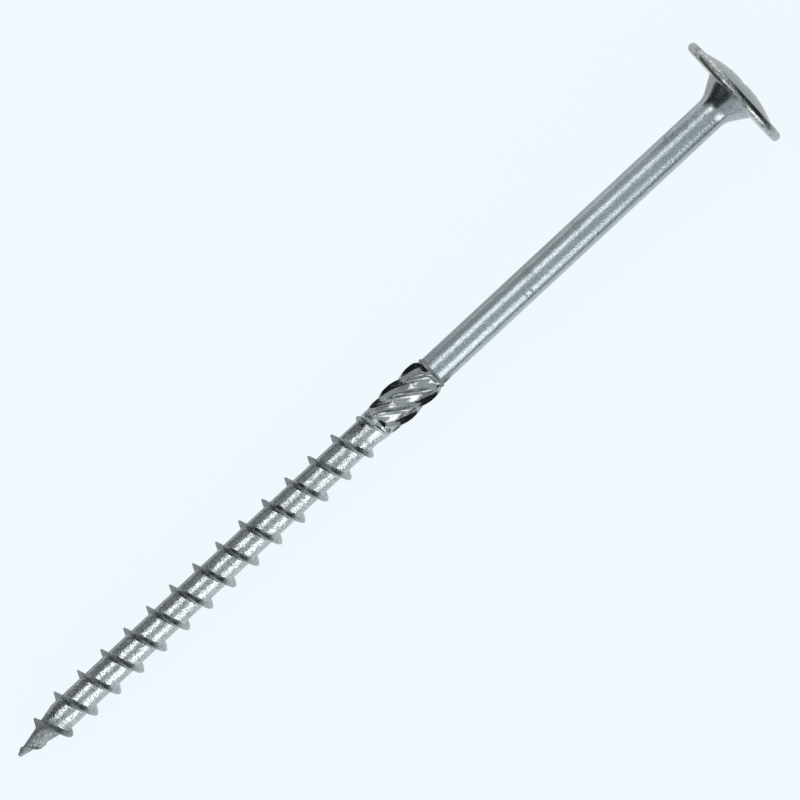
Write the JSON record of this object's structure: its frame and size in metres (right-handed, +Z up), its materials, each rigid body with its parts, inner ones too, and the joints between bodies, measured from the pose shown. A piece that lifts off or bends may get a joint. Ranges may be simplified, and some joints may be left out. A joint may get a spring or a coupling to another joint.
{
  "type": "washer head screw",
  "caption": "Long timber screw with a wide washer head, cone under the head, smooth shank, ribbed reamer, coarse wood thread and sharp point, lying as it rests.",
  "frame": {"origin": "on the surface that the screw lies on, under the middle of its length", "axes": "+X along the screw from the point to the head, +Z up from the surface; the screw's own axis rises towards the head by the angle at which washer and thread both touch"},
  "size_m": [0.163, 0.0214, 0.0215],
  "materials": {
    "zinc": "bright zinc plating over rolled steel, with fine lengthwise grain"
  },
  "bodies": {
    "root": {"screw": "zinc"}
  },
  "joints": []
}
